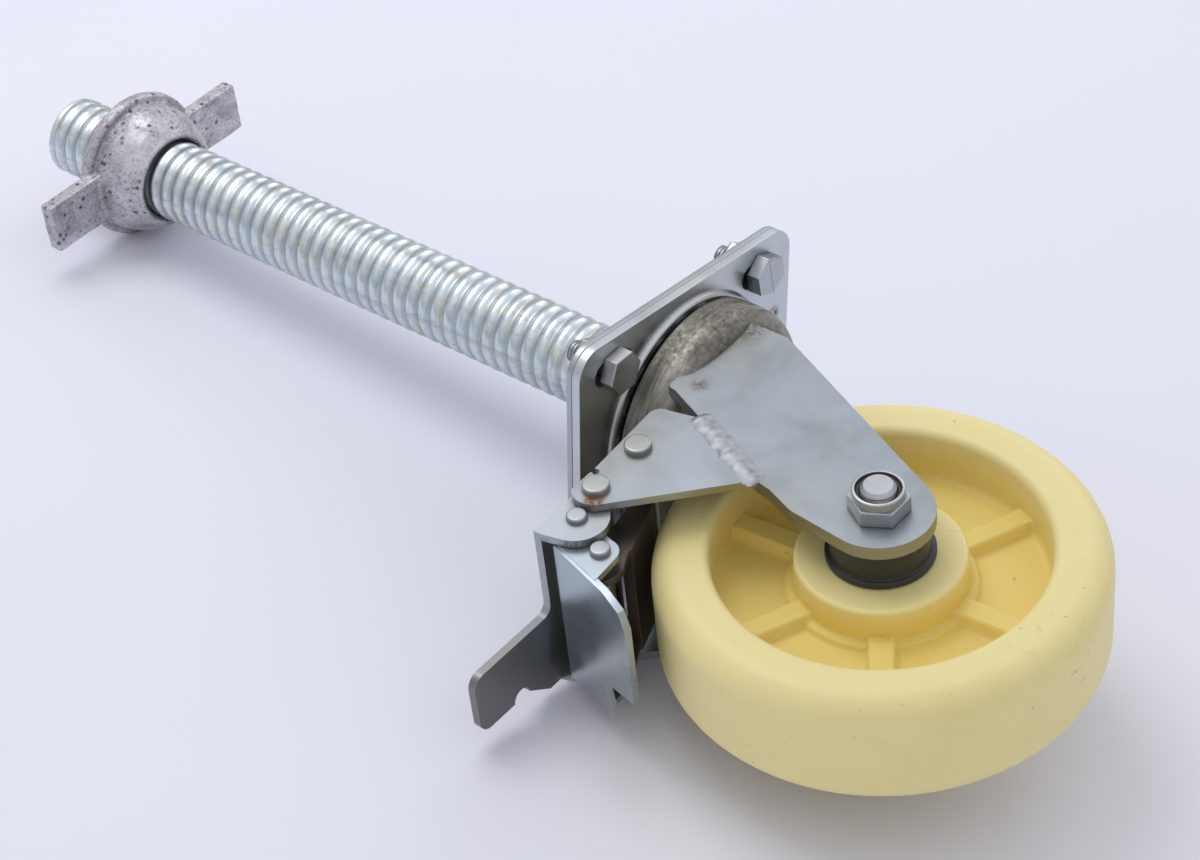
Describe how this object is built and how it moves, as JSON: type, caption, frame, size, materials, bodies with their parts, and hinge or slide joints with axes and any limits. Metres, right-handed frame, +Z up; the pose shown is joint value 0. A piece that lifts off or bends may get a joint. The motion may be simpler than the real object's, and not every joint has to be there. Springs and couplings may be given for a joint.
{
  "type": "scaffold castor",
  "caption": "Swivel castor with a nylon wheel, a foot brake and a long threaded stem with a wing nut that holds up a scaffold leg.",
  "frame": {"origin": "foot of the threaded stem, on the stem's axis, on the upper face of the stem plate", "axes": "+Z up the stem, +Y along the axle towards the axle nut, +X towards the brake's foot tab"},
  "size_m": [0.2093, 0.1124, 0.5092],
  "materials": {
    "zinc_plate": "bright zinc plating, slightly clouded",
    "zinc_stem": "bright zinc plating with a faint yellow and blue tint",
    "dull_zinc": "dirty zinc plating",
    "bright_steel": "plated fasteners",
    "ball_steel": "polished",
    "weld": "rippled weld under zinc plating",
    "cast_metal": "plated casting with dark pores",
    "nylon": "cream nylon, satin",
    "dark_plastic": "dark moulded plastic",
    "insert": "dark nylon"
  },
  "bodies": {
    "stem_head": {"threaded_stem": "zinc_stem", "stem_weld": "weld", "stem_plate": "zinc_plate", "castor_plate": "zinc_plate", "plate_bolts": "bright_steel", "plate_nuts": "bright_steel", "kingpin": "bright_steel", "lower_race": "dull_zinc"},
    "fork_frame": {"fork": "zinc_plate", "bracket_near": "zinc_plate", "bracket_far": "zinc_plate", "weld_near": "weld", "weld_far": "weld", "shoe_pivot": "bright_steel", "lever_pivot": "bright_steel", "axle_bolt": "bright_steel", "axle_nut": "bright_steel", "nut_insert": "insert", "bearing_spacer": "bright_steel", "dust_cap_near": "dark_plastic", "dust_cap_far": "dark_plastic", "inner_ring_near": "ball_steel", "inner_ring_far": "ball_steel", "upper_balls": "ball_steel", "lower_balls": "ball_steel"},
    "road_wheel": {"wheel": "nylon", "outer_ring_near": "ball_steel", "outer_ring_far": "ball_steel", "bearing_balls_near": "ball_steel", "bearing_balls_far": "ball_steel"},
    "lever": {"brake_lever": "zinc_plate", "link_pivot": "bright_steel"},
    "link": {"brake_link": "zinc_plate", "toe_pin": "bright_steel"},
    "shoe": {"brake_shoe": "dull_zinc"},
    "stem_nut": {"wing_nut": "cast_metal"}
  },
  "joints": [
    {"name": "swivel", "type": "hinge", "parent": "stem_head", "child": "fork_frame", "pos_m": [0, 0, 0], "axis": [0, 0, 1], "continuous": true},
    {"name": "wheel_spin", "type": "hinge", "parent": "fork_frame", "child": "road_wheel", "pos_m": [0.0384, 0, -0.1172], "axis": [0, 1, 0], "continuous": true},
    {"name": "nut_turn", "type": "hinge", "parent": "stem_head", "child": "stem_nut", "pos_m": [0, 0, 0.271], "axis": [0, 0, 1], "continuous": true},
    {"name": "lever_press", "type": "hinge", "parent": "fork_frame", "child": "lever", "pos_m": [0.0809, 0, -0.0346], "axis": [0, 1, 0], "range_deg": [0, 22]},
    {"name": "link_fold", "type": "hinge", "parent": "lever", "child": "link", "pos_m": [0.093, 0, -0.0361], "axis": [0, 1, 0], "range_deg": [-18.2, 0]},
    {"name": "shoe_press", "type": "hinge", "parent": "fork_frame", "child": "shoe", "pos_m": [0.0577, 0, -0.0337], "axis": [0, 1, 0], "range_deg": [0, 6.95]}
  ],
  "couplings": [
    {"joint": "link_fold", "follows": "lever_press", "ratio": -0.8256},
    {"joint": "shoe_press", "follows": "lever_press", "ratio": 0.3148}
  ]
}
